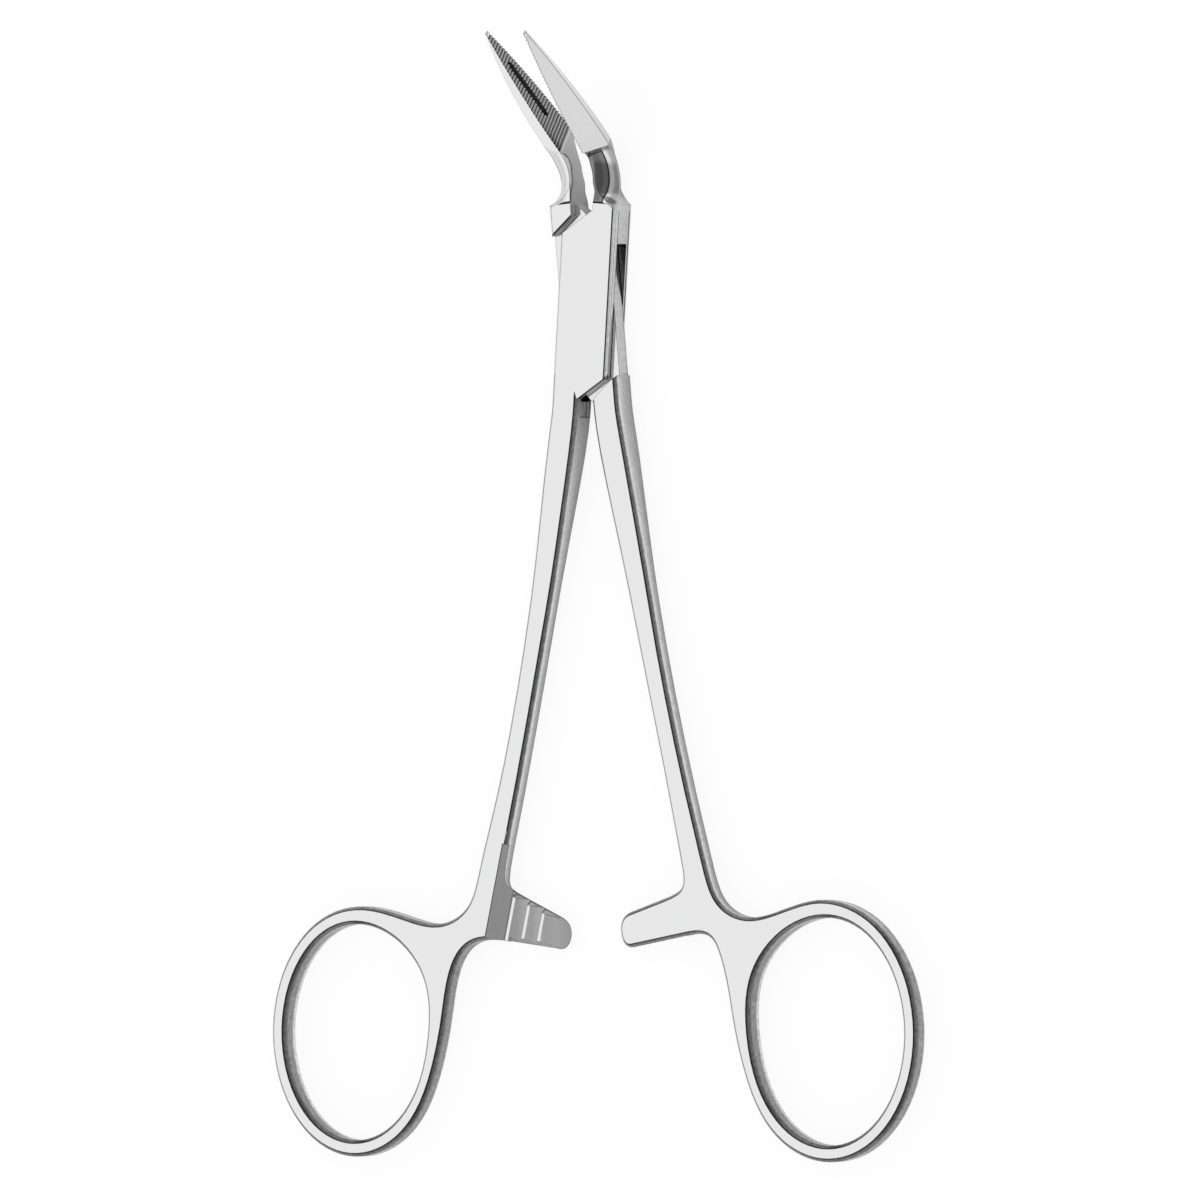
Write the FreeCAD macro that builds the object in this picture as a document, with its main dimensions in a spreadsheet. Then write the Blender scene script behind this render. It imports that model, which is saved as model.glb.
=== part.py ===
import FreeCAD, Part
import math
import os

import Sketcher

# Box-lock splinter forceps with finger rings, a ratchet and angled serrated jaws.
# Millimetres. Z = 0 is the underside of the lock, +Y points to the jaws, and the
# jaws bend up towards +Z. The origin is on the pivot axis.
# Each half is drawn as it lies when the jaws are closed, then turned to its rest place.

SIZES = {
    # How far the two halves stand apart at rest, in degrees.
    "rest_opening": 9.2,
    # Box lock.
    "lock_thickness": 4.0,
    "lock_width": 8.0,
    "lock_chamfer": 0.4,
    "plate_thickness": 1.0,
    "tongue_play": 0.06,
    "slot_wall_reach": 7.9,
    "slot_end_reach": 11.9,
    "slot_end_play": 0.25,
    "shoulder_side_reach": 8.6,
    "shoulder_crotch_reach": 11.5,
    "shoulder_gap": 0.45,
    "shank_play": 0.15,
    "pin_radius": 1.25,
    "pin_play": 0.03,
    # Handles. A share counts from the pivot down to the top of the ratchet arm.
    "handle_thickness": 2.6,
    "handle_bevel": 0.45,
    "handle_back_bevel": 0.7,
    "hole_back_bevel": 0.25,
    "taper_start": 13.5,
    "taper_end": 38.0,
    "shank_top_share": 0.242,
    "shank_top_offset": 2.45,
    "shank_top_width": 4.15,
    "shank_upper_share": 0.431,
    "shank_upper_offset": 3.95,
    "shank_upper_width": 3.4,
    "shank_middle_share": 0.619,
    "shank_middle_offset": 5.6,
    "shank_middle_width": 2.9,
    "shank_lower_share": 0.8075,
    "shank_lower_offset": 7.65,
    "shank_lower_width": 2.95,
    "shank_foot_share": 0.929,
    "shank_foot_offset": 9.05,
    "shank_foot_width": 3.6,
    # Finger rings.
    "ring_drop": 18.45,
    "ring_band": 2.05,
    "ring_hole_swell": 1.3,
    "left_ring_tilt": 2.8,
    "left_ring_offset": 28.85,
    "left_hole_width": 21.2,
    "left_hole_length": 27.0,
    "right_ring_tilt": 4.0,
    "right_ring_offset": 27.2,
    "right_hole_width": 22.5,
    "right_hole_length": 28.2,
    # Ratchet.
    "arm_top_reach": 74.3,
    "left_arm_height": 5.4,
    "left_arm_overreach": 1.4,
    "left_arm_droop": 0.45,
    "left_arm_taper": 1.35,
    "left_foot_shift": 0.45,
    "right_arm_height": 4.8,
    "right_arm_overreach": 2.05,
    "right_arm_droop": 0.8,
    "right_arm_taper": 0.4,
    "right_foot_shift": 0.0,
    "ratchet_root": 9.5,
    "ratchet_step": 0.1,
    "ratchet_slant": 9.0,
    "ratchet_play": 0.08,
    "tooth_pitch": 2.35,
    "tooth_depth": 0.62,
    "tooth_land": 0.45,
    "first_tooth": 7.4,
    "tooth_corner": 0.6,
    "arm_tip_thickness": 0.45,
    # Jaws.
    "jaw_angle": 49.5,
    "jaw_base_reach": 20.6,
    "jaw_base_height": 4.63,
    "jaw_length": 20.6,
    "jaw_base_width": 4.2,
    "jaw_base_depth": 3.3,
    "jaw_middle_share": 0.58,
    "jaw_middle_width": 2.75,
    "jaw_middle_depth": 2.15,
    "jaw_tip_width": 0.55,
    "jaw_tip_depth": 0.36,
    "jaw_ridge": 0.4,
    "jaw_gap": 0.06,
    "serration_pitch": 0.6,
    "serration_depth": 0.17,
    "groove_width": 0.7,
    "groove_depth": 0.4,
    "groove_start": 4.7,
    "groove_length": 10.4,
    # Necks between lock and jaws.
    "neck_root_reach": 12.85,
    "neck_relief": 0.65,
    "neck_relief_end": 17.6,
    "neck_waist_reach": 15.3,
    "neck_waist_height": 2.3,
    "neck_waist_width": 2.75,
    "neck_waist_depth": 3.2,
    "neck_bend_reach": 17.6,
    "neck_bend_height": 2.95,
    "neck_bend_angle": 20.0,
    "neck_bend_width": 2.1,
    "neck_ridge": 0.7,
    "neck_bend_depth": 3.2,
}

# A cubic spline whose control points lie 30 degrees apart on an ellipse runs inside them.
POLE_STEP = 30
SPLINE_SHRINK = (2 + math.cos(math.radians(POLE_STEP))) / 3

doc = FreeCAD.newDocument("splinter_forceps")
sheet = doc.addObject("Spreadsheet::Sheet", "sizes")
for row, (alias, number) in enumerate(SIZES.items(), start=1):
    sheet.set("A%d" % row, alias)
    sheet.set("B%d" % row, str(number))
    sheet.setAlias("B%d" % row, alias)
doc.recompute()


class Size:
    """A number and the sheet expression that gives it, so that both are written once."""

    def __init__(self, value, text):
        self.value = float(value)
        self.text = text

    def __add__(self, other):
        other = as_size(other)
        return Size(self.value + other.value, "(%s + %s)" % (self.text, other.text))

    def __sub__(self, other):
        other = as_size(other)
        return Size(self.value - other.value, "(%s - %s)" % (self.text, other.text))

    def __mul__(self, other):
        other = as_size(other)
        return Size(self.value * other.value, "(%s * %s)" % (self.text, other.text))

    def __truediv__(self, other):
        other = as_size(other)
        return Size(self.value / other.value, "(%s / %s)" % (self.text, other.text))

    def __neg__(self):
        return self * -1

    def __radd__(self, other):
        return as_size(other) + self

    def __rsub__(self, other):
        return as_size(other) - self

    def __rmul__(self, other):
        return as_size(other) * self


def as_size(number):
    if isinstance(number, Size):
        return number
    return Size(number, "%.10g" % number)


def size(alias):
    return Size(sheet.get(alias), "sizes." + alias)


def cosine(angle):
    return Size(math.cos(math.radians(angle.value)), "cos(%s)" % angle.text)


def sine(angle):
    return Size(math.sin(math.radians(angle.value)), "sin(%s)" % angle.text)


def arc_tangent(ratio):
    return Size(math.degrees(math.atan(ratio.value)), "atan(%s)" % ratio.text)


LOCK_MIDDLE = size("lock_thickness") / 2
HALF_WIDTH = size("lock_width") / 2


def bind(item, path, amount):
    item.setExpression(path, as_size(amount).text)


def origin_plane(body, role):
    return next(plane for plane in body.Origin.OriginFeatures if plane.Role == role)


def new_sketch(body, name, role, shift=(0, 0, 0), turn=None, axis=(1, 0, 0)):
    """A sketch on an origin plane, moved by shift and turned about axis, in the plane's own axes."""
    sketch = body.newObject("Sketcher::SketchObject", name)
    sketch.AttachmentSupport = [(origin_plane(body, role), "")]
    sketch.MapMode = "FlatFace"
    amounts = [as_size(amount) for amount in shift]
    angle = as_size(0 if turn is None else turn)
    sketch.AttachmentOffset = FreeCAD.Placement(
        FreeCAD.Vector(*[amount.value for amount in amounts]),
        FreeCAD.Rotation(FreeCAD.Vector(*axis), angle.value),
    )
    for letter, amount in zip("xyz", amounts):
        if "sizes" in amount.text:
            bind(sketch, "AttachmentOffset.Base." + letter, amount)
    if "sizes" in angle.text:
        bind(sketch, "AttachmentOffset.Rotation.Angle", angle)
    return sketch


def vector(point):
    return FreeCAD.Vector(as_size(point[0]).value, as_size(point[1]).value, 0)


def pin_point(sketch, item, end, point):
    """Fix one point of a sketch at its two driving coordinates."""
    for kind, amount in (("DistanceX", as_size(point[0])), ("DistanceY", as_size(point[1]))):
        index = sketch.addConstraint(Sketcher.Constraint(kind, -1, 1, item, end, amount.value))
        if "sizes" in amount.text:
            bind(sketch, "Constraints[%d]" % index, amount)


def pin_poles(sketch, spline, poles):
    """Tie a spline's control points to construction circles at their driving coordinates."""
    for number, pole in enumerate(poles):
        circle = sketch.addGeometry(Part.Circle(vector(pole), FreeCAD.Vector(0, 0, 1), 1.0), True)
        sketch.addConstraint(Sketcher.Constraint("Weight", circle, 1.0))
        role = "InternalAlignment:Sketcher::BSplineControlPoint"
        sketch.addConstraint(Sketcher.Constraint(role, circle, 3, spline, number))
        pin_point(sketch, circle, 3, pole)


def draw_outline(sketch, *runs):
    """Draw a closed outline. Each run starts where the last one ended: two points make a line,
    and more are the control points of a cubic spline."""
    items = []
    for run in runs:
        if len(run) == 2:
            curve = Part.LineSegment(vector(run[0]), vector(run[1]))
        else:
            curve = Part.BSplineCurve()
            curve.buildFromPoles([vector(pole) for pole in run], False, 3)
        items.append(sketch.addGeometry(curve, False))
    for item, run in zip(items, runs):
        if len(run) == 2:
            pin_point(sketch, item, 1, run[0])
        else:
            pin_poles(sketch, item, run[:-1])
    for item, following in zip(items, items[1:] + items[:1]):
        sketch.addConstraint(Sketcher.Constraint("Coincident", item, 2, following, 1))


def draw_polygon(sketch, points):
    draw_outline(sketch, *[list(pair) for pair in zip(points, points[1:] + points[:1])])


def draw_ring(sketch, poles):
    """Draw a closed smooth curve through its ring of control points."""
    curve = Part.BSplineCurve()
    curve.buildFromPoles([vector(pole) for pole in poles], True, 3)
    pin_poles(sketch, sketch.addGeometry(curve, False), poles)


def extrude(body, kind, name, sketch, length, symmetric=False, reverse=False):
    """Pad or pocket a sketch, and stop if it doesn't change the volume."""
    before = body.Shape.Volume if body.Tip else 0.0
    feature = body.newObject("PartDesign::" + kind, name)
    feature.Profile = sketch
    feature.SideType = "Symmetric" if symmetric else "One side"
    feature.Reversed = reverse
    bind(feature, "Length", length)
    doc.recompute()
    if abs(body.Shape.Volume - before) < 1e-4:
        raise RuntimeError(name + " changes nothing")
    return feature


def round_edges(body, kind, name, base, edges, amount):
    feature = body.newObject("PartDesign::" + kind, name)
    feature.Base = (base, ["Edge%d" % number for number in edges])
    bind(feature, "Radius" if kind == "Fillet" else "Size", amount)
    doc.recompute()
    if feature.Shape.isNull() or not feature.Shape.isValid():
        raise RuntimeError(name + " can't be made")


def face_tilt(face, point):
    """How far a face looks up or down at a point, from 0 for a wall to 1 for a level face."""
    u, v = face.Surface.parameter(point)
    return abs(face.normalAt(u, v).z)


def rim_edges(shape, y_low, y_high):
    """Numbers of the edges between walls and level faces that lie between two Y values."""
    found = []
    for number, edge in enumerate(shape.Edges, start=1):
        box = edge.BoundBox
        if box.YMin < y_low - 0.01 or box.YMax > y_high + 0.01:
            continue
        middle = edge_middle(edge)
        tilts = [face_tilt(face, middle) for face in shape.ancestorsOfType(edge, Part.Face)]
        if len(tilts) == 2 and min(tilts) < 0.02 and max(tilts) > 0.9:
            found.append(number)
    return found


def mirrored(points, side):
    return [(as_size(x) * side, y) for x, y in points]


def ring_poles(name, width, length, side, swell=0):
    """Control points of an upright oval whose top leans outwards, anticlockwise from +X. Its upper
    inner quarter, by the ratchet arm, is fuller by swell."""
    tilt = size(name + "_ring_tilt")
    offset = size(name + "_ring_offset")
    centre_y = -size("arm_top_reach") - size("ring_drop")
    poles = []
    for angle in range(0, 360, POLE_STEP):
        across = width / 2 * (math.cos(math.radians(angle)) / SPLINE_SHRINK)
        along = length / 2 * (math.sin(math.radians(angle)) / SPLINE_SHRINK)
        x = offset + across * cosine(tilt) + along * sine(tilt)
        y = along * cosine(tilt) - across * sine(tilt) + centre_y
        if angle in (120, 150):
            x -= swell * (angle / 150) ** 3
        poles.append((x * side, y))
    return poles


def shank_stations(name):
    """Outer and inner control points of the shank, from the lock down to the ratchet."""
    outer = []
    inner = []
    for station in ("top", "upper", "middle", "lower", "foot"):
        reach = -size("arm_top_reach") * size("shank_%s_share" % station)
        offset = size("shank_%s_offset" % station)
        half = size("shank_%s_width" % station) / 2
        if station == "foot":
            offset += size(name + "_foot_shift")
        outer.append((offset + half, reach))
        inner.append((offset - half, reach))
    return outer, inner


def draw_handle(sketch, name, side, outer_end, inner_end):
    """Outline of shank, ring and ratchet arm as one closed curve, outwards being +X. The two ends
    are the Y values where its outer and inner edges meet the lock."""
    width = size(name + "_hole_width") + 2 * size("ring_band")
    length = size(name + "_hole_length") + 2 * size("ring_band")
    ring = ring_poles(name, width, length, 1)
    outer, inner = shank_stations(name)
    waist = -size("shoulder_crotch_reach") - size("shoulder_gap") * 2
    play = size("shank_play")
    saddle = ring[3][1]
    foot_x = outer[-1][0]
    outside = [(HALF_WIDTH, waist), (HALF_WIDTH, waist - 1.5)] + outer + [
        (foot_x + 0.6, saddle + 3.4),
        (foot_x + 1.7, saddle - 0.1),
        (foot_x + 6.0, saddle - 2.5),
        (foot_x + 12.0, saddle - 1.0),
    ]
    around = [ring[number] for number in (3, 2, 1, 0, 11, 10, 9, 8, 7)]
    side_x = ring[6][0]
    side_y = ring[6][1]
    around += [(side_x, side_y), (side_x - 0.25, side_y + 3.2)]
    arm_bottom = -size("arm_top_reach") - size(name + "_arm_height")
    root_x = inner[-1][0]
    arm_end = -size(name + "_arm_overreach")
    corner_x = arm_end + 1.4
    droop = size(name + "_arm_droop")
    top_droop = droop + size(name + "_arm_taper")
    arm_top = (root_x - 2.8, -size("arm_top_reach"))
    arm_slope = droop / (root_x + 0.6 - corner_x)
    top_slope = top_droop / (arm_top[0] - corner_x)
    end_bottom = (corner_x, arm_bottom - droop)
    end_top = (corner_x, arm_top[1] - top_droop)
    under = [
        around[-1],
        (side_x - 0.5, side_y + 6.4),
        (side_x - 1.3, arm_bottom - 1.6),
        (root_x + 3.4, arm_bottom + arm_slope * 2.8),
        (root_x + 0.6, arm_bottom),
    ]
    inside = [
        arm_top,
        (root_x - 0.7, arm_top[1] + top_slope * 2.1),
        (root_x + 0.4, arm_top[1] + 1.2),
        (root_x + 0.25, arm_top[1] + 3.6),
    ] + list(reversed(inner)) + [(play, waist - 1.5), (play, waist)]
    draw_outline(
        sketch,
        mirrored(outside + around, side),
        mirrored(under, side),
        mirrored([under[-1], end_bottom], side),
        mirrored([
            end_bottom,
            (arm_end + 0.1, end_bottom[1] - arm_slope * 1.3),
            (arm_end - 0.8, (end_bottom[1] + end_top[1]) / 2),
            (arm_end + 0.1, end_top[1] - top_slope * 1.3),
            end_top,
        ], side),
        mirrored([end_top, arm_top], side),
        mirrored(inside, side),
        mirrored([inside[-1], (play, inner_end)], side),
        mirrored([(play, inner_end), (HALF_WIDTH, outer_end)], side),
        mirrored([(HALF_WIDTH, outer_end), outside[0]], side),
    )


def add_handle(body, name, side, outer_end, inner_end):
    """Shank, ring and ratchet blank: a padded outline, thinned below the lock, with round rims."""
    outline = new_sketch(body, name + "_handle_outline", "XY_Plane", (0, 0, LOCK_MIDDLE))
    draw_handle(outline, name, side, outer_end, inner_end)
    extrude(body, "Pad", name + "_handle", outline, size("lock_thickness"), symmetric=True)
    thin_handle(body, name)
    middle_x = (HALF_WIDTH + size("shank_play")) / 2 * side
    middle_y = (outer_end + inner_end) / 2
    end_middles = [
        FreeCAD.Vector(middle_x.value, middle_y.value, 0),
        FreeCAD.Vector(middle_x.value, middle_y.value, size("lock_thickness").value),
    ]
    bevel_rims(body, name + "_rims", end_middles, size("handle_back_bevel"))
    finished = [edge_middle(edge) for edge in body.Shape.Edges]
    hole = new_sketch(body, name + "_ring_hole_outline", "XY_Plane", (0, 0, LOCK_MIDDLE))
    width = size(name + "_hole_width")
    length = size(name + "_hole_length")
    draw_ring(hole, ring_poles(name, width, length, side, size("ring_hole_swell")))
    extrude(body, "Pocket", name + "_ring_hole", hole, size("lock_thickness"), symmetric=True)
    bevel_rims(body, name + "_ring_hole_rims", finished, size("hole_back_bevel"))


def edge_middle(edge):
    return edge.valueAt((edge.FirstParameter + edge.LastParameter) / 2)


def bevel_rims(body, name, finished, back_bevel):
    """Bevel the edges between walls and faces below the lock, but not those already finished."""
    start = -size("shoulder_side_reach").value
    for part, front, amount in (
        ("front", True, size("handle_bevel")),
        ("back", False, back_bevel),
    ):
        edges = []
        for number in rim_edges(body.Shape, -200, start):
            middle = edge_middle(body.Shape.Edges[number - 1])
            if (middle.z > LOCK_MIDDLE.value) != front:
                continue
            if all((middle - point).Length > 1e-3 for point in finished):
                edges.append(number)
        round_edges(body, "Chamfer", "%s_%s" % (name, part), body.Tip, edges, amount)


def thin_handle(body, name):
    """Take both faces of the handle down from the lock's thickness in a long smooth curve."""
    profile = new_sketch(body, name + "_taper_profile", "YZ_Plane")
    start = -size("taper_start")
    end = -size("taper_end")
    third = (size("taper_end") - size("taper_start")) / 3
    far = end * 4
    for face in (1, -1):
        high = LOCK_MIDDLE + size("lock_thickness") / 2 * face
        low = LOCK_MIDDLE + size("handle_thickness") / 2 * face
        outside = high + face
        draw_outline(
            profile,
            [(start, high), (start - third, high), (end + third, low), (end, low)],
            [(end, low), (far, low)],
            [(far, low), (far, outside)],
            [(far, outside), (start, outside)],
            [(start, outside), (start, high)],
        )
    extrude(body, "Pocket", name + "_taper", profile, size("arm_top_reach") * 2, symmetric=True)


def add_ratchet(body, name, side, front):
    """Cut the arm to half thickness with sawteeth. The steep flanks look towards the arm's own
    shank. The teeth are on the front when front is 1, and on the back when it is -1."""
    half = size("handle_thickness") / 2
    crest = -size("ratchet_play") / 2
    valley = crest - size("tooth_depth")
    root = size("ratchet_root")
    land = size("tooth_land")
    pitch = size("tooth_pitch")
    first = size("first_tooth")
    profile = [(root + 0.1, half + 1), (root, half - size("ratchet_step")), (first, valley)]
    for number in range(3):
        tooth = first - pitch * number
        profile += [(tooth, crest), (tooth - land, crest)]
        if number < 2:
            profile.append((tooth - pitch, valley))
    tip = -size(name + "_arm_overreach") - 1.5
    profile += [(tip, -half + size("arm_tip_thickness")), (tip, half + 1)]
    points = [(x * side, LOCK_MIDDLE + z * front) for x, z in profile]
    height = size(name + "_arm_height")
    low = size("arm_top_reach") + height * 2
    slant = size("ratchet_slant")
    shift = height * 1.5 * sine(slant) * side
    sketch = new_sketch(body, name + "_ratchet_profile", "XZ_Plane", (shift, 0, low),
                        slant * side, (0, 1, 0))
    draw_polygon(sketch, points)
    extrude(body, "Pocket", name + "_ratchet", sketch, height * 3)
    cut_tooth_corners(body, name, side, front, LOCK_MIDDLE + crest * front)


def cut_tooth_corners(body, name, side, front, crest):
    """Bevel the ends of the teeth along both long edges of the arm."""
    inner_x = shank_stations(name)[1][-1][0]
    corner_x = -size(name + "_arm_overreach") + 1.4
    droop = size(name + "_arm_droop")
    top_droop = droop + size(name + "_arm_taper")
    top = -size("arm_top_reach")
    corner = size("tooth_corner")
    length = size("first_tooth") - corner_x - 0.2
    for edge, up, run, fall, level in (
        ("upper", 1, inner_x - 2.8 - corner_x, top_droop, top),
        ("lower", -1, inner_x + 0.6 - corner_x, droop, top - size(name + "_arm_height")),
    ):
        slope = arc_tangent(fall / run)
        start_y = level - fall
        sketch = new_sketch(body, "%s_%s_corner_profile" % (name, edge), "YZ_Plane",
                            (start_y, 0, corner_x * side), slope * side, (0, 1, 0))
        draw_polygon(sketch, [
            (-(corner + 1) * up, crest + front),
            (up, crest + front),
            (up, crest - (corner + 1) * front),
        ])
        extrude(body, "Pocket", "%s_%s_corner" % (name, edge), sketch, length, reverse=side > 0)


def shoulder_height(x, gap):
    """Distance from the pivot to the slanted step at x, counted from its low end inwards."""
    side_y = size("shoulder_side_reach")
    slope = (size("shoulder_crotch_reach") - side_y) / HALF_WIDTH
    return side_y + slope * x + gap


def half_turned(points):
    return [(-as_size(x), -as_size(y)) for x, y in points]


def bevelled(left, right, low, high, bevel):
    """A rectangle with its four corners cut off."""
    return [
        (left + bevel, low),
        (right - bevel, low),
        (right, low + bevel),
        (right, high - bevel),
        (right - bevel, high),
        (left + bevel, high),
        (left, high - bevel),
        (left, low + bevel),
    ]


def add_box(body):
    """The box of the lock: a bevelled block whose upper left and lower right ends are slanted."""
    neck = size("neck_root_reach")
    side_y = size("shoulder_side_reach")
    thick = size("lock_thickness")
    bevel = size("lock_chamfer")
    profile = new_sketch(body, "box_profile", "XZ_Plane", (0, 0, -neck))
    draw_polygon(profile, bevelled(-HALF_WIDTH, HALF_WIDTH, as_size(0), thick, bevel))
    extrude(body, "Pad", "box_block", profile, neck + side_y)
    play = size("shank_play")
    flat = HALF_WIDTH - bevel
    end = new_sketch(body, "box_end_outline", "XY_Plane")
    draw_polygon(end, [
        (-HALF_WIDTH / 2, -side_y + 1),
        (-play, -shoulder_height(HALF_WIDTH + play, 0)),
        (flat, -shoulder_height(HALF_WIDTH - flat, 0)),
        (flat, -side_y + 1),
    ])
    extrude(body, "Pad", "box_end", end, thick)
    relief = size("neck_relief")
    step = new_sketch(body, "box_step_outline", "XY_Plane", (0, 0, LOCK_MIDDLE))
    draw_polygon(step, [
        (-HALF_WIDTH, side_y),
        (relief, shoulder_height(HALF_WIDTH + relief, 0)),
        (relief, neck + 1),
        (-HALF_WIDTH - 1, neck + 1),
        (-HALF_WIDTH - 1, side_y),
    ])
    extrude(body, "Pocket", "box_step", step, thick, symmetric=True)


def slot_outline(play):
    """Plan of the slot, or of the tongue in it when play is set: open at both sides, and closed
    by slanted ends at the upper right and the lower left."""
    wall = size("slot_wall_reach") - play
    end = size("slot_end_reach") - play
    return [(HALF_WIDTH, wall), (size("neck_relief"), end)]


def cut_slot(body):
    wide = HALF_WIDTH + 1
    high = size("slot_end_reach") + 2
    ends = slot_outline(0)
    start = [(wide, ends[0][1]), ends[0], ends[1], (ends[1][0], high), (-wide, high)]
    middle = LOCK_MIDDLE
    outline = new_sketch(body, "slot_outline", "XY_Plane", (0, 0, middle))
    draw_polygon(outline, start + half_turned(start))
    gap = size("lock_thickness") - 2 * size("plate_thickness")
    extrude(body, "Pocket", "slot", outline, gap, symmetric=True)


def add_tongue(body):
    """The thin tongue, and the full-thickness shoulder above it."""
    ends = slot_outline(size("slot_end_play"))
    neck = size("neck_root_reach")
    relief = size("neck_relief")
    outline = new_sketch(body, "tongue_outline", "XY_Plane", (0, 0, LOCK_MIDDLE))
    half = [ends[0], ends[1], (-relief, neck), (-HALF_WIDTH, neck)]
    draw_polygon(outline, half + half_turned(half))
    thickness = size("lock_thickness") - 2 * size("plate_thickness") - 2 * size("tongue_play")
    extrude(body, "Pad", "tongue", outline, thickness, symmetric=True)
    profile = new_sketch(body, "shoulder_profile", "XZ_Plane", (0, 0, -neck))
    bevel = size("lock_chamfer")
    draw_polygon(profile, [
        (-HALF_WIDTH, bevel),
        (-HALF_WIDTH + bevel, 0),
        (-relief, 0),
        (-relief, size("lock_thickness")),
        (-HALF_WIDTH + bevel, size("lock_thickness")),
        (-HALF_WIDTH, size("lock_thickness") - bevel),
    ])
    gap = size("shoulder_gap")
    extrude(body, "Pad", "shoulder", profile, neck - size("shoulder_side_reach") - gap)
    for name, low, high in (
        ("front", LOCK_MIDDLE + thickness / 2, size("lock_thickness") + 1),
        ("back", as_size(-1), LOCK_MIDDLE - thickness / 2),
    ):
        step = new_sketch(body, name + "_step_outline", "XY_Plane", (0, 0, low))
        draw_polygon(step, [
            (-HALF_WIDTH - 1, size("shoulder_side_reach") - 1),
            (-HALF_WIDTH - 1, shoulder_height(-1, gap)),
            (0, shoulder_height(HALF_WIDTH, gap)),
            (0, size("shoulder_side_reach") - 1),
        ])
        extrude(body, "Pocket", name + "_step", step, high - low, reverse=True)


def cut_bore(body, name, radius):
    sketch = new_sketch(body, name + "_circle", "XY_Plane", (0, 0, LOCK_MIDDLE))
    circle = sketch.addGeometry(Part.Circle(FreeCAD.Vector(0, 0, 0), FreeCAD.Vector(0, 0, 1), radius.value))
    sketch.addConstraint(Sketcher.Constraint("Coincident", circle, 3, -1, 1))
    index = sketch.addConstraint(Sketcher.Constraint("Radius", circle, radius.value))
    bind(sketch, "Constraints[%d]" % index, radius)
    extrude(body, "Pocket", name, sketch, size("lock_thickness"), symmetric=True)


def section(sketch, side, inner, outer, height, bevel):
    """The lock's own section at the root of a neck: a rectangle with two bevelled corners."""
    half = height / 2
    draw_polygon(sketch, mirrored([
        (inner, -half),
        (outer - bevel, -half),
        (outer, -half + bevel),
        (outer, half - bevel),
        (outer - bevel, half),
        (inner, half),
    ], side))


def ridged_section(sketch, side, inner, outer, height, front_land, share):
    """A section with a broad front facet, from a narrow land on the front edge to a ridge that
    runs down the outer side, and a rounded back."""
    half = height / 2
    ridge = half - height * share
    draw_polygon(sketch, mirrored([
        (inner, -half),
        (outer * 0.3, -half),
        (outer * 0.84, (ridge - half) / 2),
        (outer, ridge),
        (inner + front_land, half),
        (inner, half),
    ], side))


def across_plane(body, name, reach, height, angle):
    """A sketch across the neck or jaw, at a distance and height, leaning back by angle."""
    return new_sketch(body, name, "XZ_Plane", (0, height, -reach), angle)


def add_loft(body, name, sections, ruled):
    loft = body.newObject("PartDesign::AdditiveLoft", name)
    loft.Profile = sections[0]
    loft.Sections = sections[1:]
    loft.Ruled = ruled
    doc.recompute()
    return loft


def add_jaw(body, name, side):
    """Neck and jaw: a smooth neck that bends up from the lock, then a tapering straight jaw."""
    face = size("jaw_gap") / 2
    angle = size("jaw_angle")
    root = across_plane(body, name + "_neck_root", size("neck_root_reach"), LOCK_MIDDLE, 0)
    section(root, side, face, HALF_WIDTH, size("lock_thickness"), size("lock_chamfer"))
    waist = across_plane(body, name + "_neck_waist", size("neck_waist_reach"),
                         size("neck_waist_height"), size("neck_bend_angle") / 2)
    ridged_section(waist, side, face, size("neck_waist_depth"),
                   size("neck_waist_width"), size("neck_waist_depth") / 4, size("neck_ridge"))
    bend = across_plane(body, name + "_neck_bend", size("neck_bend_reach"),
                        size("neck_bend_height"), size("neck_bend_angle"))
    ridged_section(bend, side, face, size("neck_bend_depth"), size("neck_bend_width"),
                   size("neck_bend_depth") / 6, size("neck_ridge"))
    base = across_plane(body, name + "_jaw_base", size("jaw_base_reach"),
                        size("jaw_base_height"), angle)
    ridged_section(base, side, face, size("jaw_base_depth"), size("jaw_base_width"),
                   size("jaw_base_depth") / 30, size("jaw_ridge"))
    share = size("jaw_middle_share")
    middle = across_plane(body, name + "_jaw_middle",
                          size("jaw_base_reach") + size("jaw_length") * share * cosine(angle),
                          size("jaw_base_height") + size("jaw_length") * share * sine(angle), angle)
    ridged_section(middle, side, face, size("jaw_middle_depth"), size("jaw_middle_width"),
                   size("jaw_middle_depth") / 20, size("jaw_ridge"))
    tip = across_plane(body, name + "_jaw_tip",
                       size("jaw_base_reach") + size("jaw_length") * cosine(angle),
                       size("jaw_base_height") + size("jaw_length") * sine(angle), angle)
    ridged_section(tip, side, face, size("jaw_tip_depth"), size("jaw_tip_width"),
                   size("jaw_tip_depth") / 4, size("jaw_ridge"))
    add_loft(body, name + "_neck", [root, waist, bend, base], False)
    add_loft(body, name + "_jaw", [base, middle, tip], False)
    relieve_neck(body, name, side)
    cut_serrations(body, name, side)


def relieve_neck(body, name, side):
    """Hollow the inner face of the neck, so that the two halves touch only along the jaws."""
    depth = size("neck_relief")
    low = size("neck_root_reach")
    high = size("neck_relief_end")
    step = (high - low) / 4
    relief = new_sketch(body, name + "_relief_outline", "XY_Plane")
    draw_outline(
        relief,
        mirrored([(0, high), (depth / 2, high - step), (depth / 5, high - step * 2),
                  (depth, high - step * 2.5), (depth, low + step)], side),
        mirrored([(depth, low + step), (depth, low)], side),
        mirrored([(depth, low), (-depth, low)], side),
        mirrored([(-depth, low), (-depth, high)], side),
        mirrored([(-depth, high), (0, high)], side),
    )
    extrude(body, "Pocket", name + "_relief", relief, size("lock_thickness") * 2, symmetric=True)


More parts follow.
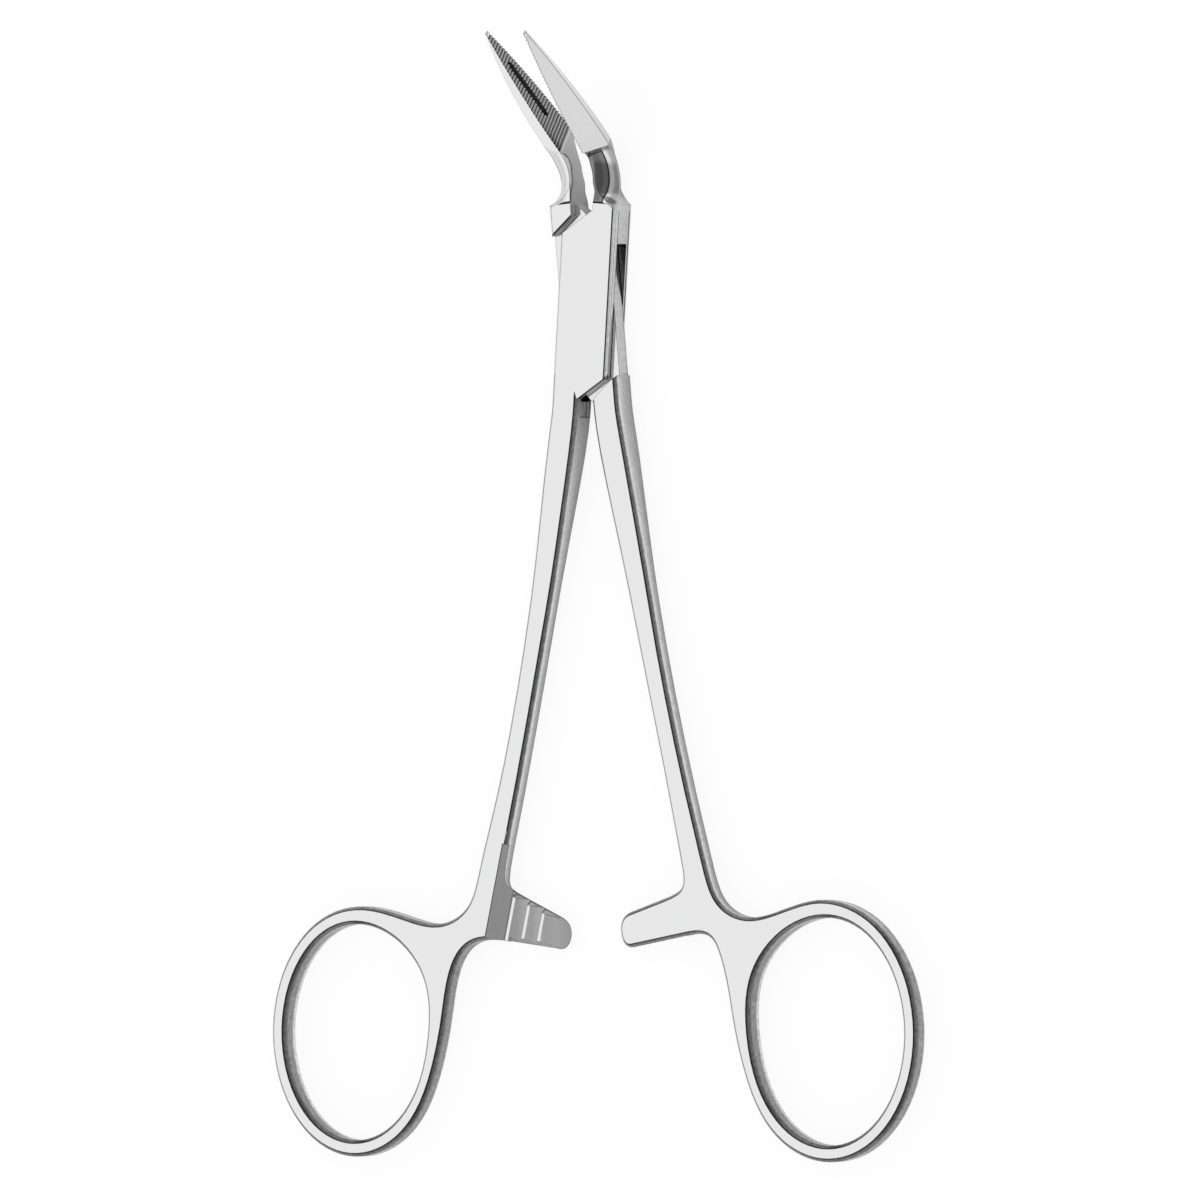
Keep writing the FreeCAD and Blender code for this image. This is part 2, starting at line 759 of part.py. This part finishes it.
def cut_serrations(body, name, side):
    """Cross serrations over the whole gripping face, and a long groove down its middle."""
    angle = size("jaw_angle")
    base = (size("jaw_base_reach"), size("jaw_base_height"))
    pitch = size("serration_pitch")
    notch = new_sketch(body, name + "_serration_notch", "XY_Plane", (0,) + base, angle)
    draw_polygon(notch, mirrored([
        (0, pitch / 2),
        (size("jaw_gap") / 2 + size("serration_depth"), pitch),
        (0, pitch * 1.5),
    ], side))
    cut = extrude(body, "Pocket", name + "_serration", notch, size("jaw_base_width") * 2, symmetric=True)
    rows = body.newObject("PartDesign::LinearPattern", name + "_serrations")
    rows.Originals = [cut]
    rows.Direction = (notch, ["V_Axis"])
    rows.Mode = "Spacing"
    bind(rows, "Offset", pitch)
    count = Size(math.floor((size("jaw_length") / pitch).value) - 1,
                 "floor(%s) - 1" % (size("jaw_length") / pitch).text)
    rows.Occurrences = int(count.value)
    bind(rows, "Occurrences", count)
    body.Tip = rows
    doc.recompute()
    groove = new_sketch(body, name + "_groove_outline", "YZ_Plane", base + (0,), angle, (0, 0, 1))
    start = size("groove_start")
    end = start + size("groove_length")
    half = size("groove_width") / 2
    draw_polygon(groove, [
        (start, 0),
        (start + 2 * half, half),
        (end - 2 * half, half),
        (end, 0),
        (end - 2 * half, -half),
        (start + 2 * half, -half),
    ])
    extrude(body, "Pocket", name + "_groove", groove, size("jaw_gap") / 2 + size("groove_depth"),
            reverse=side > 0)


def new_body(name):
    body = doc.addObject("PartDesign::Body", name)
    body.Label = name
    return body


def turn_body(body, share):
    """Turn a half about the pivot axis by its share of the opening."""
    body.Placement = FreeCAD.Placement(
        FreeCAD.Vector(0, 0, 0),
        FreeCAD.Rotation(FreeCAD.Vector(0, 0, 1), (size("rest_opening") * share).value),
    )
    bind(body, "Placement.Rotation.Angle", size("rest_opening") * share)


def build_box_half():
    body = new_body("box_half")
    end = -size("shoulder_side_reach")
    add_handle(body, "left", -1, end, end)
    add_ratchet(body, "left", -1, 1)
    add_box(body)
    add_jaw(body, "right", 1)
    cut_slot(body)
    cut_bore(body, "plate_bore", size("pin_radius"))
    turn_body(body, -0.5)
    return body


def build_tongue_half():
    body = new_body("tongue_half")
    gap = size("shoulder_gap")
    inner_end = -shoulder_height(HALF_WIDTH - size("shank_play"), gap)
    add_handle(body, "right", 1, -shoulder_height(0, gap), inner_end)
    add_ratchet(body, "right", 1, -1)
    add_tongue(body)
    add_jaw(body, "left", -1)
    cut_bore(body, "tongue_bore", size("pin_radius") + size("pin_play"))
    turn_body(body, 0.5)
    return body


def build_pivot_pin():
    """The rivet, as long as the lock is thick, finished flush at both ends."""
    pin = doc.addObject("Part::Cylinder", "pivot_pin")
    pin.Label = "pivot_pin"
    bind(pin, "Radius", size("pin_radius"))
    bind(pin, "Height", size("lock_thickness"))
    return pin


def check_document(parts):
    for item in doc.Objects:
        if "Invalid" in item.State or "Error" in item.State:
            raise RuntimeError("%s can't be worked out" % item.Label)
    for part in parts:
        if part.Shape.isNull() or not part.Shape.isValid() or len(part.Shape.Solids) != 1:
            raise RuntimeError("%s isn't one valid solid" % part.Label)


parts = [build_box_half(), build_tongue_half(), build_pivot_pin()]
doc.recompute()
check_document(parts)
os.makedirs("parts", exist_ok=True)
for part in parts:
    part.Shape.exportStep("parts/%s.step" % part.Label)
    box = part.Shape.BoundBox
    print("%s: %.1f mm3, x %.2f to %.2f, y %.2f to %.2f, z %.2f to %.2f" % (
        part.Label, part.Shape.Volume, box.XMin, box.XMax, box.YMin, box.YMax, box.ZMin, box.ZMax))
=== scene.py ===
import math
from types import SimpleNamespace

import bpy
from mathutils import Matrix, Vector

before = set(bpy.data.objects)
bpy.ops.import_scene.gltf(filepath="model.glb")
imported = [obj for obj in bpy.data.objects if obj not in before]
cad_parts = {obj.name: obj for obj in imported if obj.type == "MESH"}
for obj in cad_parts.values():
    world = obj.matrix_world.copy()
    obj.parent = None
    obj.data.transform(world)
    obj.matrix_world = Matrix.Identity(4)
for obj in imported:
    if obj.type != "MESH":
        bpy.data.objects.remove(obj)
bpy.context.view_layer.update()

# The photograph's view: pixels per millimetre, the pivot's place in the picture and the turn.
PIXELS_PER_MM = 8.05
PICTURE_SIZE = 1200
PIVOT_PIXEL = (582.6, 306.0)
YAW = math.radians(34.0)
ROLL = math.radians(0.7)
LOCK_TOP = 0.004
CAMERA_DISTANCE = 4.0
# Each half is turned by this much about the pivot, away from where it lies with the jaws closed.
REST_TURN = math.radians(4.6)

# Places on a half, in its own millimetres with the jaws closed: x counts from the mid-plane, y
# from the pivot towards the jaws, z from the underside of the lock.
LOCK_MIDDLE = 2.0
BOX_END = -8.7
NECK_START = 13.2
NECK_REACH = 6.0
NECK_CURVE = 0.4
NECK_SAG = 0.8
INNER_START = 11.0
INNER_REACH = 0.9
NECK_FRONT = 0.72
# The distance past the base of the jaw is a share of y and a share of z, each with an offset.
JAW_Y = (0.6494, -13.378)
JAW_Z = (0.7604, -3.5207)
JAW_CURVE = (0.6667, -1.0)
JAW_SAG = 0.6
JAW_START = -0.6
GRIP_REACH = 0.5
RATCHET_START = -66.0
RATCHET_REACH = 10.9
SLOT_SIDE = 3.98
SLOT_HALF = 1.01
SLOT_END = 11.95
SHOULDER_MIDDLE = 10.0
SHOULDER_SPAN = 3.2
RIVET_REACH = 1.6
NECK_ROOT = 12.85
ROOT_SPAN = 0.2
ROOT_REACH = 3.3
CROTCH = -13.0
CROTCH_SPAN = 1.3
# The shanks thin from the lock's half thickness to the handles' between these two places.
THIN_FROM, THIN_TO = -13.5, -38.0
HALF_THICK, HALF_THIN = 2.0, 1.3
BEVEL_DEPTH = 0.43
RING_TOP, RING_BLEND_END = -84.0, -76.0

# How level a surface is, as the upright share of its normal: 1 for a flat.
SIDE_LEVEL = 0.97
STEEP = 0.5
TOOTH_LEVELS = (0.72, 0.9985)
JAW_BACK = 0.3
TURNED_AWAY = 0.3
GRIP_FACING = -0.15

# Tones of painted reflection and shade. Each is a place in millimetres and the share of the steel's
# colour that is left there. For the sides the place is the depth under the front face, for the
# band along the back the height over the back, for the necks, the grip and its notches the
# distance from the mid-plane, for the ratchet x.
DEEPEST = 4.0
SHANK_REFLECTION = [
    (0.0, 0.03), (0.08, 0.03), (0.14, 0.3), (0.4, 0.4), (0.46, 1.1), (0.85, 1.0), (1.2, 0.85),
    (2.0, 0.7), (3.0, 0.8),
]
SHANK_BACK_REFLECTION = [
    (0.0, 0.95), (0.62, 1.0), (0.68, 0.3), (0.76, 0.3), (0.84, 0.75), (1.2, 0.8), (1.8, 1.0),
]
RING_REFLECTION = [
    (0.0, 0.03), (0.08, 0.03), (0.16, 0.22), (0.5, 0.34), (0.9, 0.52), (1.5, 0.5), (1.82, 0.62),
    (1.92, 1.3), (2.3, 1.3), (2.4, 0.6),
]
BOX_REFLECTION = [
    (0.0, 0.03), (0.08, 0.03), (0.14, 1.1), (0.36, 1.1), (0.4, 0.2), (0.46, 1.0), (0.9, 0.9),
    (0.97, 0.2), (1.02, 0.08), (1.1, 0.9), (3.2, 0.9), (3.3, 0.15), (3.42, 0.15), (3.5, 1.1),
]
SHOULDER_REFLECTION = [
    (0.0, 0.03), (0.4, 0.1), (0.7, 0.3), (0.76, 1.3), (0.93, 1.3), (0.97, 0.03), (1.2, 0.03),
]
RIGHT_NECK_REFLECTION = [
    (0.6, 0.3), (0.75, 0.22), (1.3, 0.2), (1.7, 0.32), (1.95, 0.25), (2.02, 0.03), (2.1, 0.03),
    (2.16, 1.1), (2.45, 1.1), (2.7, 0.65), (3.2, 0.55), (3.6, 0.8),
]
LEFT_NECK_REFLECTION = [
    (0.62, 0.62), (0.67, 0.05), (0.72, 0.05), (0.76, 0.8), (0.95, 1.1), (1.4, 1.0), (1.9, 0.75),
    (3.2, 0.9),
]
RATCHET_REFLECTION = [
    (-9.0, 0.82), (-6.35, 0.88), (-6.1, 0.95), (-5.2, 1.12), (-4.5, 0.95), (-4.1, 0.95),
    (-3.3, 1.15), (-2.6, 1.0), (-2.25, 0.62), (-0.6, 0.68), (1.5, 0.6),
]
# Painted shade in the grip's notches, on the necks' inner faces and inside the lock's slot, and a
# painted light tone behind the jaw's ridge.
NOTCH_SHADE = [(0.03, 0.9), (0.07, 0.3), (0.2, 0.08), (0.26, 0.02)]
INNER_SHADE = 0.7
SLOT_SHADE = 0.22
JAW_BACK_PAINTED_LIGHT = 0.95
# Tones over how well a rounded normal agrees with the plain one: a painted dark line at a sharp
# edge, standing in for its dark reflection, and painted shade along the edges of the necks.
EDGE_SHADE_LINE = [(0.92, 0.05), (0.988, 1.0)]
JAW_EDGE_SHADE_LINE = [(0.96, 0.03), (0.995, 1.0)]
EDGE_SHADE_STEPS = (0.86, 0.95, 0.995)
# Tones over the grain of the ground surfaces.
MOTTLE = [(0.3, 0.72), (0.7, 1.0)]
ROUGH_MOTTLE = [(0.35, 0.6), (0.65, 1.05)]
SATIN = [(0.3, 0.93), (0.7, 1.0)]
STEEL_COLOUR = (0.84, 0.84, 0.845, 1)
ROUGHNESS = (0.11, 0.19)
# The radius of the rounding between the sides, and half the width of the painted dark line along
# an edge.
SIDE_ROUNDING = 0.0004
LINE_REACH = 0.00013

# What the steel mirrors: angles from straight up, seen along the instrument, and levels.
ROOM = [
    (-180, 0.95), (-100, 0.9), (-94, 0.8), (-85, 0.8), (-78, 0.93), (-27, 0.96), (-20, 0.85),
    (-13, 0.4), (0, 0.42), (30, 0.36), (52, 0.36), (62, 0.8), (76, 0.9), (86, 0.7), (94, 0.7),
    (101, 0.85), (180, 0.95),
]
ROOM_ENDS = [(0.82, 0.0), (0.94, 1.0)]
ROOM_END_COLOUR = (0.8, 0.8, 0.8, 1)

FLOOR_HALF = 1.0
FLOOR_LEVEL = -0.0002
PAPER_GLOW = 0.88
PAPER_COLOUR = (0.12, 0.12, 0.12, 1)
MIRRORED_PAPER = (0.93, 0.93, 0.93, 1)
WHITE = (1, 1, 1, 1)


def node_tree(owner):
    owner.use_nodes = True
    tree = owner.node_tree
    tree.nodes.clear()
    return tree


def add(tree, kind, **values):
    """Add a node. A value goes to the property or to the input socket of that name."""
    node = tree.nodes.new(kind)
    for name, value in values.items():
        if hasattr(node, name):
            setattr(node, name, value)
        else:
            node.inputs[name.replace("_", " ")].default_value = value
    return node


def link(tree, source, target):
    tree.links.new(source, target)


def ramp_of(tree, source, low, high, stops):
    """A colour ramp over a value that runs from low to high. Each stop is a value and a level."""
    spread = add(tree, "ShaderNodeMapRange", From_Min=low, From_Max=high)
    link(tree, source, spread.inputs["Value"])
    ramp = add(tree, "ShaderNodeValToRGB")
    elements = ramp.color_ramp.elements
    for number, (value, level) in enumerate(stops):
        position = (value - low) / (high - low)
        stop = elements[number] if number < 2 else elements.new(position)
        stop.position = position
        stop.color = (level, level, level, 1)
    link(tree, spread.outputs["Result"], ramp.inputs["Fac"])
    return ramp.outputs["Color"]


def calc(tree, operation, *values):
    """A sum over sockets and plain numbers."""
    node = add(tree, "ShaderNodeMath", operation=operation)
    for socket, value in zip(node.inputs, values):
        if isinstance(value, (int, float)):
            socket.default_value = value
        else:
            link(tree, value, socket)
    return node.outputs[0]


def over(tree, value, limit):
    return calc(tree, "GREATER_THAN", value, limit)


def under(tree, value, limit):
    return calc(tree, "LESS_THAN", value, limit)


def size_of(tree, value):
    return calc(tree, "ABSOLUTE", value)


def outside(tree, mask):
    return calc(tree, "SUBTRACT", 1.0, mask)


def all_of(tree, first, *others):
    """The mask of where every one of these masks holds."""
    for other in others:
        first = calc(tree, "MULTIPLY", first, other)
    return first


def mix_tone(tree, amount, first, second):
    """Blend two tones. Each is a socket or a plain level."""
    node = add(tree, "ShaderNodeMix", data_type="RGBA")
    link(tree, amount, node.inputs[0])
    for socket, value in ((node.inputs[6], first), (node.inputs[7], second)):
        if isinstance(value, (int, float)):
            socket.default_value = (value, value, value, 1)
        else:
            link(tree, value, socket)
    return node.outputs[2]


def times(tree, first, second):
    node = add(tree, "ShaderNodeMix", data_type="RGBA", blend_type="MULTIPLY")
    node.inputs[0].default_value = 1.0
    link(tree, first, node.inputs[6])
    link(tree, second, node.inputs[7])
    return node.outputs[2]


def rounded_normal(tree, radius):
    """The normal of the surface as if its edges were rounded by this radius."""
    node = add(tree, "ShaderNodeBevel", samples=8)
    node.inputs["Radius"].default_value = radius
    return node.outputs["Normal"]


def agreement(tree, first, second):
    node = add(tree, "ShaderNodeVectorMath", operation="DOT_PRODUCT")
    link(tree, first, node.inputs[0])
    link(tree, second, node.inputs[1])
    return node.outputs["Value"]


def make_camera():
    right = Vector((math.cos(YAW), 0, -math.sin(YAW)))
    up = Vector((0, 1, 0))
    back = right.cross(up)
    image_x = right * math.cos(ROLL) - up * math.sin(ROLL)
    image_y = right * math.sin(ROLL) + up * math.cos(ROLL)
    scale = 0.001 / PIXELS_PER_MM
    centre = Vector((0, 0, LOCK_TOP))
    centre += image_x * (PICTURE_SIZE / 2 - PIVOT_PIXEL[0]) * scale
    centre -= image_y * (PICTURE_SIZE / 2 - PIVOT_PIXEL[1]) * scale
    data = bpy.data.cameras.new("camera")
    data.lens = data.sensor_width * CAMERA_DISTANCE / (PICTURE_SIZE * scale)
    data.clip_start = 0.1
    data.clip_end = 20.0
    camera = bpy.data.objects.new("camera", data)
    turn = Matrix((image_x, image_y, back)).transposed().to_4x4()
    camera.matrix_world = Matrix.Translation(centre + back * CAMERA_DISTANCE) @ turn
    bpy.context.scene.collection.objects.link(camera)
    bpy.context.scene.camera = camera


def half_place(tree, turn):
    """Where a point lies on its half, in millimetres with the jaws closed, and how it is turned."""
    place = add(tree, "ShaderNodeTexCoord")
    own = add(tree, "ShaderNodeMapping", Rotation=(0, 0, -turn), Scale=(1000, 1000, 1000))
    link(tree, place.outputs["Object"], own.inputs["Vector"])
    where = add(tree, "ShaderNodeSeparateXYZ")
    link(tree, own.outputs["Vector"], where.inputs["Vector"])
    surface = add(tree, "ShaderNodeNewGeometry")
    plain = add(tree, "ShaderNodeSeparateXYZ")
    link(tree, surface.outputs["True Normal"], plain.inputs["Vector"])
    x, y, z = where.outputs
    return SimpleNamespace(
        vector=own.outputs["Vector"], x=x, y=y, z=z, off_x=size_of(tree, x),
        normal=surface.outputs["Normal"], true_normal=surface.outputs["True Normal"],
        normal_x=plain.outputs["X"], normal_y=plain.outputs["Y"], normal_z=plain.outputs["Z"],
        level=size_of(tree, plain.outputs["Z"]), height=calc(tree, "SUBTRACT", z, LOCK_MIDDLE),
    )


def half_masks(tree, at):
    """The neck with its inner face, the jaw, the ratchet's teeth, and every side and bevel."""
    bulge = calc(tree, "MULTIPLY_ADD", at.off_x, NECK_CURVE, -NECK_CURVE)
    bulge = calc(tree, "POWER", bulge, 2)
    neck = over(tree, calc(tree, "MULTIPLY_ADD", bulge, NECK_SAG, at.y), NECK_START)
    inner = all_of(
        tree, over(tree, at.y, INNER_START), under(tree, at.off_x, INNER_REACH),
        under(tree, at.level, STEEP),
    )
    neck = all_of(tree, calc(tree, "MAXIMUM", neck, inner), under(tree, at.off_x, NECK_REACH))
    along = calc(
        tree, "ADD", calc(tree, "MULTIPLY_ADD", at.y, *JAW_Y),
        calc(tree, "MULTIPLY_ADD", at.z, *JAW_Z),
    )
    curve = calc(tree, "POWER", calc(tree, "MULTIPLY_ADD", at.off_x, *JAW_CURVE), 2)
    along = calc(tree, "SUBTRACT", along, calc(tree, "MULTIPLY", curve, JAW_SAG))
    jaw = over(tree, along, JAW_START)
    teeth = all_of(
        tree, under(tree, at.y, RATCHET_START), under(tree, at.off_x, RATCHET_REACH),
        over(tree, at.level, TOOTH_LEVELS[0]), under(tree, at.level, TOOTH_LEVELS[1]),
    )
    side = calc(tree, "MAXIMUM", under(tree, at.level, SIDE_LEVEL), neck)
    side = all_of(tree, side, outside(tree, jaw), outside(tree, teeth))
    return SimpleNamespace(neck=neck, inner=inner, jaw=jaw, teeth=teeth, side=side)


def neck_tone(tree, at, soft, neck_stops, neck_edge_shade):
    """Painted reflection bands from the inner face outwards, with painted shade down to the edge
    level along the edges.
    """
    tones = (neck_edge_shade, 0.5 + 0.5 * neck_edge_shade, 1.0)
    agrees = agreement(tree, soft, at.true_normal)
    edge_shade = ramp_of(tree, agrees, 0.5, 1.0, list(zip(EDGE_SHADE_STEPS, tones)))
    front = over(tree, at.off_x, NECK_FRONT)
    bands = ramp_of(tree, at.off_x, 0, DEEPEST, neck_stops)
    return times(tree, bands, mix_tone(tree, front, 1.0, edge_shade))


def side_tone(tree, at, masks, grain, neck):
    """Painted dark and light reflection bands along the sides, on the grain of the ground steel."""
    mottle = ramp_of(tree, grain, 0.0, 1.0, MOTTLE)
    rough_mottle = ramp_of(tree, grain, 0.0, 1.0, ROUGH_MOTTLE)
    thickness = add(
        tree, "ShaderNodeMapRange", interpolation_type="SMOOTHSTEP", From_Min=THIN_TO,
        From_Max=THIN_FROM, To_Min=HALF_THIN, To_Max=HALF_THICK,
    )
    link(tree, at.y, thickness.inputs["Value"])
    deep = calc(tree, "SUBTRACT", thickness.outputs["Result"], at.height)
    lift = calc(tree, "ADD", thickness.outputs["Result"], at.height)
    shank, shank_back, ring, box, shoulder = (
        ramp_of(tree, distance, 0, DEEPEST, stops) for distance, stops in (
            (deep, SHANK_REFLECTION), (lift, SHANK_BACK_REFLECTION), (deep, RING_REFLECTION), (deep, BOX_REFLECTION), (deep, SHOULDER_REFLECTION),
        )
    )
    grit = mix_tone(tree, over(tree, deep, BEVEL_DEPTH), rough_mottle, mottle)
    shank = times(tree, times(tree, shank, shank_back), grit)
    on_ring = ramp_of(tree, at.y, -90, -70, [(RING_TOP, 1.0), (RING_BLEND_END, 0.0)])
    tone = mix_tone(tree, on_ring, shank, times(tree, ring, rough_mottle))
    tone = mix_tone(tree, over(tree, at.y, BOX_END), tone, times(tree, box, mottle))
    # Painted reflection bands on the slanted faces of the lock's shoulders.
    at_shoulder = all_of(
        tree, over(tree, size_of(tree, at.normal_x), TURNED_AWAY),
        over(tree, size_of(tree, at.normal_y), TURNED_AWAY),
        calc(tree, "COMPARE", size_of(tree, at.y), SHOULDER_MIDDLE, SHOULDER_SPAN),
    )
    tone = mix_tone(tree, at_shoulder, tone, shoulder)
    # Painted shade on the necks' inner faces, and the necks' painted reflection bands.
    tone = mix_tone(tree, masks.neck, tone, mix_tone(tree, masks.inner, neck, INNER_SHADE))
    return mix_tone(tree, masks.side, 1.0, tone)


def jaw_tone(tree, at, masks, tone):
    """Painted light behind the jaw's ridge; painted shade gives dark notches and a black long
    groove in its grip.
    """
    # Painted light tone behind the jaw's ridge.
    behind = all_of(tree, masks.jaw, under(tree, at.normal_z, JAW_BACK))
    tone = mix_tone(tree, behind, tone, JAW_BACK_PAINTED_LIGHT)
    # Painted shade in the grip's notches, black in the long groove.
    facing = calc(tree, "MULTIPLY", calc(tree, "SIGN", at.x), at.normal_x)
    grip = all_of(
        tree, masks.jaw, under(tree, at.off_x, GRIP_REACH), under(tree, facing, GRIP_FACING),
    )
    return mix_tone(tree, grip, tone, ramp_of(tree, at.off_x, 0.0, GRIP_REACH, NOTCH_SHADE))


def painted_edge_lines(tree, at, masks):
    """A fine painted dark line along sharp edges, for their dark reflection, but not at the flush
    rivet, neck root or crotch.
    """
    agrees = agreement(tree, rounded_normal(tree, LINE_REACH), at.normal)
    lines = mix_tone(
        tree, masks.jaw, ramp_of(tree, agrees, 0.5, 1.0, EDGE_SHADE_LINE),
        ramp_of(tree, agrees, 0.5, 1.0, JAW_EDGE_SHADE_LINE),
    )
    flat_place = add(tree, "ShaderNodeCombineXYZ")
    link(tree, at.x, flat_place.inputs["X"])
    link(tree, at.y, flat_place.inputs["Y"])
    from_axis = add(tree, "ShaderNodeVectorMath", operation="LENGTH")
    link(tree, flat_place.outputs["Vector"], from_axis.inputs[0])
    root = all_of(
        tree, calc(tree, "COMPARE", at.y, NECK_ROOT, ROOT_SPAN),
        under(tree, at.off_x, ROOT_REACH),
    )
    crotch = all_of(
        tree, calc(tree, "COMPARE", at.y, CROTCH, CROTCH_SPAN), under(tree, at.level, SIDE_LEVEL),
    )
    lined = all_of(
        tree, over(tree, from_axis.outputs["Value"], RIVET_REACH), outside(tree, root),
        outside(tree, crotch),
    )
    return mix_tone(tree, lined, 1.0, lines)


def polished(tree, at, masks, soft, tone):
    """The metal itself, with fine polishing lines along the instrument."""
    normal = add(tree, "ShaderNodeMix", data_type="VECTOR")
    link(tree, masks.side, normal.inputs[0])
    link(tree, at.normal, normal.inputs[4])
    link(tree, soft, normal.inputs[5])
    stretch = add(tree, "ShaderNodeMapping", Scale=(9, 0.26, 9))
    link(tree, at.vector, stretch.inputs["Vector"])
    lines = add(tree, "ShaderNodeTexNoise", Scale=1.0, Detail=3.0, Roughness=0.6)
    link(tree, stretch.outputs["Vector"], lines.inputs["Vector"])
    rough = add(
        tree, "ShaderNodeMapRange", From_Min=0.3, From_Max=0.7, To_Min=ROUGHNESS[0],
        To_Max=ROUGHNESS[1],
    )
    link(tree, lines.outputs["Fac"], rough.inputs["Value"])
    bump = add(tree, "ShaderNodeBump", Strength=0.05, Distance=0.00002)
    link(tree, lines.outputs["Fac"], bump.inputs["Height"])
    link(tree, normal.outputs[1], bump.inputs["Normal"])
    base = add(tree, "ShaderNodeMix", data_type="RGBA", blend_type="MULTIPLY")
    base.inputs[0].default_value = 1.0
    base.inputs[6].default_value = STEEL_COLOUR
    link(tree, tone, base.inputs[7])
    shader = add(tree, "ShaderNodeBsdfPrincipled", Metallic=1.0)
    link(tree, base.outputs[2], shader.inputs["Base Color"])
    link(tree, rough.outputs["Result"], shader.inputs["Roughness"])
    link(tree, bump.outputs["Normal"], shader.inputs["Normal"])
    output = add(tree, "ShaderNodeOutputMaterial")
    link(tree, shader.outputs["BSDF"], output.inputs["Surface"])


def steel(name, turn, neck_stops, neck_edge_shade, slotted):
    """Ground and polished steel of a half. Slotted steel has painted shade inside the lock."""
    material = bpy.data.materials.new(name)
    tree = node_tree(material)
    at = half_place(tree, turn)
    masks = half_masks(tree, at)
    soft = rounded_normal(tree, SIDE_ROUNDING)
    grain_node = add(tree, "ShaderNodeTexNoise", Scale=2.2, Detail=4.0, Roughness=0.65)
    link(tree, at.vector, grain_node.inputs["Vector"])
    grain = grain_node.outputs["Fac"]
    # Painted reflection bands on the necks, with painted shade along their edges.
    neck = neck_tone(tree, at, soft, neck_stops, neck_edge_shade)
    tone = side_tone(tree, at, masks, grain, neck)
    # Painted reflection bands across the ratchet's teeth, on their satin grain.
    ratchet = ramp_of(tree, at.x, -10, 10, RATCHET_REFLECTION)
    satin = ramp_of(tree, grain, 0.0, 1.0, SATIN)
    tone = mix_tone(tree, masks.teeth, tone, times(tree, ratchet, satin))
    # Painted shade inside the lock's slot.
    if slotted:
        inside = all_of(
            tree, under(tree, at.off_x, SLOT_SIDE),
            under(tree, size_of(tree, at.height), SLOT_HALF),
            under(tree, size_of(tree, at.y), SLOT_END),
        )
        tone = mix_tone(tree, inside, tone, SLOT_SHADE)
    tone = jaw_tone(tree, at, masks, tone)
    # Painted dark lines along the sharp edges.
    tone = times(tree, tone, painted_edge_lines(tree, at, masks))
    polished(tree, at, masks, soft, tone)
    return material


def mix_by_glossy_ray(tree, others, glossy, output_kind):
    """Show one shader in mirrored light, and the other one elsewhere."""
    path = add(tree, "ShaderNodeLightPath")
    mix = add(tree, "ShaderNodeMixShader")
    link(tree, path.outputs["Is Glossy Ray"], mix.inputs["Fac"])
    link(tree, others, mix.inputs[1])
    link(tree, glossy, mix.inputs[2])
    output = add(tree, output_kind)
    link(tree, mix.outputs["Shader"], output.inputs["Surface"])


def make_world():
    """White all round for the eye. The steel mirrors a white room with grey walls above it."""
    world = bpy.data.worlds.new("studio")
    bpy.context.scene.world = world
    tree = node_tree(world)
    place = add(tree, "ShaderNodeTexCoord")
    parts = add(tree, "ShaderNodeSeparateXYZ")
    link(tree, place.outputs["Generated"], parts.inputs["Vector"])
    angle = calc(tree, "ARCTAN2", parts.outputs["X"], parts.outputs["Z"])
    room = ramp_of(tree, calc(tree, "DEGREES", angle), -180, 180, ROOM)
    ends = ramp_of(tree, size_of(tree, parts.outputs["Y"]), 0.0, 1.0, ROOM_ENDS)
    blend = add(tree, "ShaderNodeMix", data_type="RGBA")
    link(tree, ends, blend.inputs[0])
    link(tree, room, blend.inputs[6])
    blend.inputs[7].default_value = ROOM_END_COLOUR
    plain = add(tree, "ShaderNodeBackground", Strength=1.0)
    plain.inputs["Color"].default_value = WHITE
    studio = add(tree, "ShaderNodeBackground", Strength=1.0)
    link(tree, blend.outputs[2], studio.inputs["Color"])
    mix_by_glossy_ray(
        tree, plain.outputs["Background"], studio.outputs["Background"], "ShaderNodeOutputWorld",
    )


def make_floor():
    """White paper under the instrument. In the steel it is matt, so it darkens close to it."""
    mesh = bpy.data.meshes.new("floor")
    corners = [
        (x * FLOOR_HALF, y * FLOOR_HALF, FLOOR_LEVEL)
        for x, y in ((-1, -1), (1, -1), (1, 1), (-1, 1))
    ]
    mesh.from_pydata(corners, [], [(0, 1, 2, 3)])
    floor = bpy.data.objects.new("floor", mesh)
    bpy.context.scene.collection.objects.link(floor)
    material = bpy.data.materials.new("floor_white")
    tree = node_tree(material)
    glow = add(tree, "ShaderNodeEmission", Strength=PAPER_GLOW)
    glow.inputs["Color"].default_value = WHITE
    paper = add(tree, "ShaderNodeBsdfDiffuse")
    paper.inputs["Color"].default_value = PAPER_COLOUR
    both = add(tree, "ShaderNodeAddShader")
    link(tree, glow.outputs["Emission"], both.inputs[0])
    link(tree, paper.outputs["BSDF"], both.inputs[1])
    matt = add(tree, "ShaderNodeBsdfDiffuse")
    matt.inputs["Color"].default_value = MIRRORED_PAPER
    mix_by_glossy_ray(
        tree, both.outputs["Shader"], matt.outputs["BSDF"], "ShaderNodeOutputMaterial",
    )
    mesh.materials.append(material)


def finish_nodes():
    for name, turn, neck_stops, neck_edge_shade, slotted in (
        ("box_half", -REST_TURN, RIGHT_NECK_REFLECTION, 1.0, True),
        ("tongue_half", REST_TURN, LEFT_NECK_REFLECTION, 0.06, False),
        ("pivot_pin", 0.0, LEFT_NECK_REFLECTION, 1.0, False),
    ):
        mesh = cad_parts[name].data
        mesh.materials.clear()
        mesh.materials.append(steel(name + "_steel", turn, neck_stops, neck_edge_shade, slotted))


make_camera()
make_world()
make_floor()
finish_nodes()
bpy.context.scene.view_settings.view_transform = "Standard"
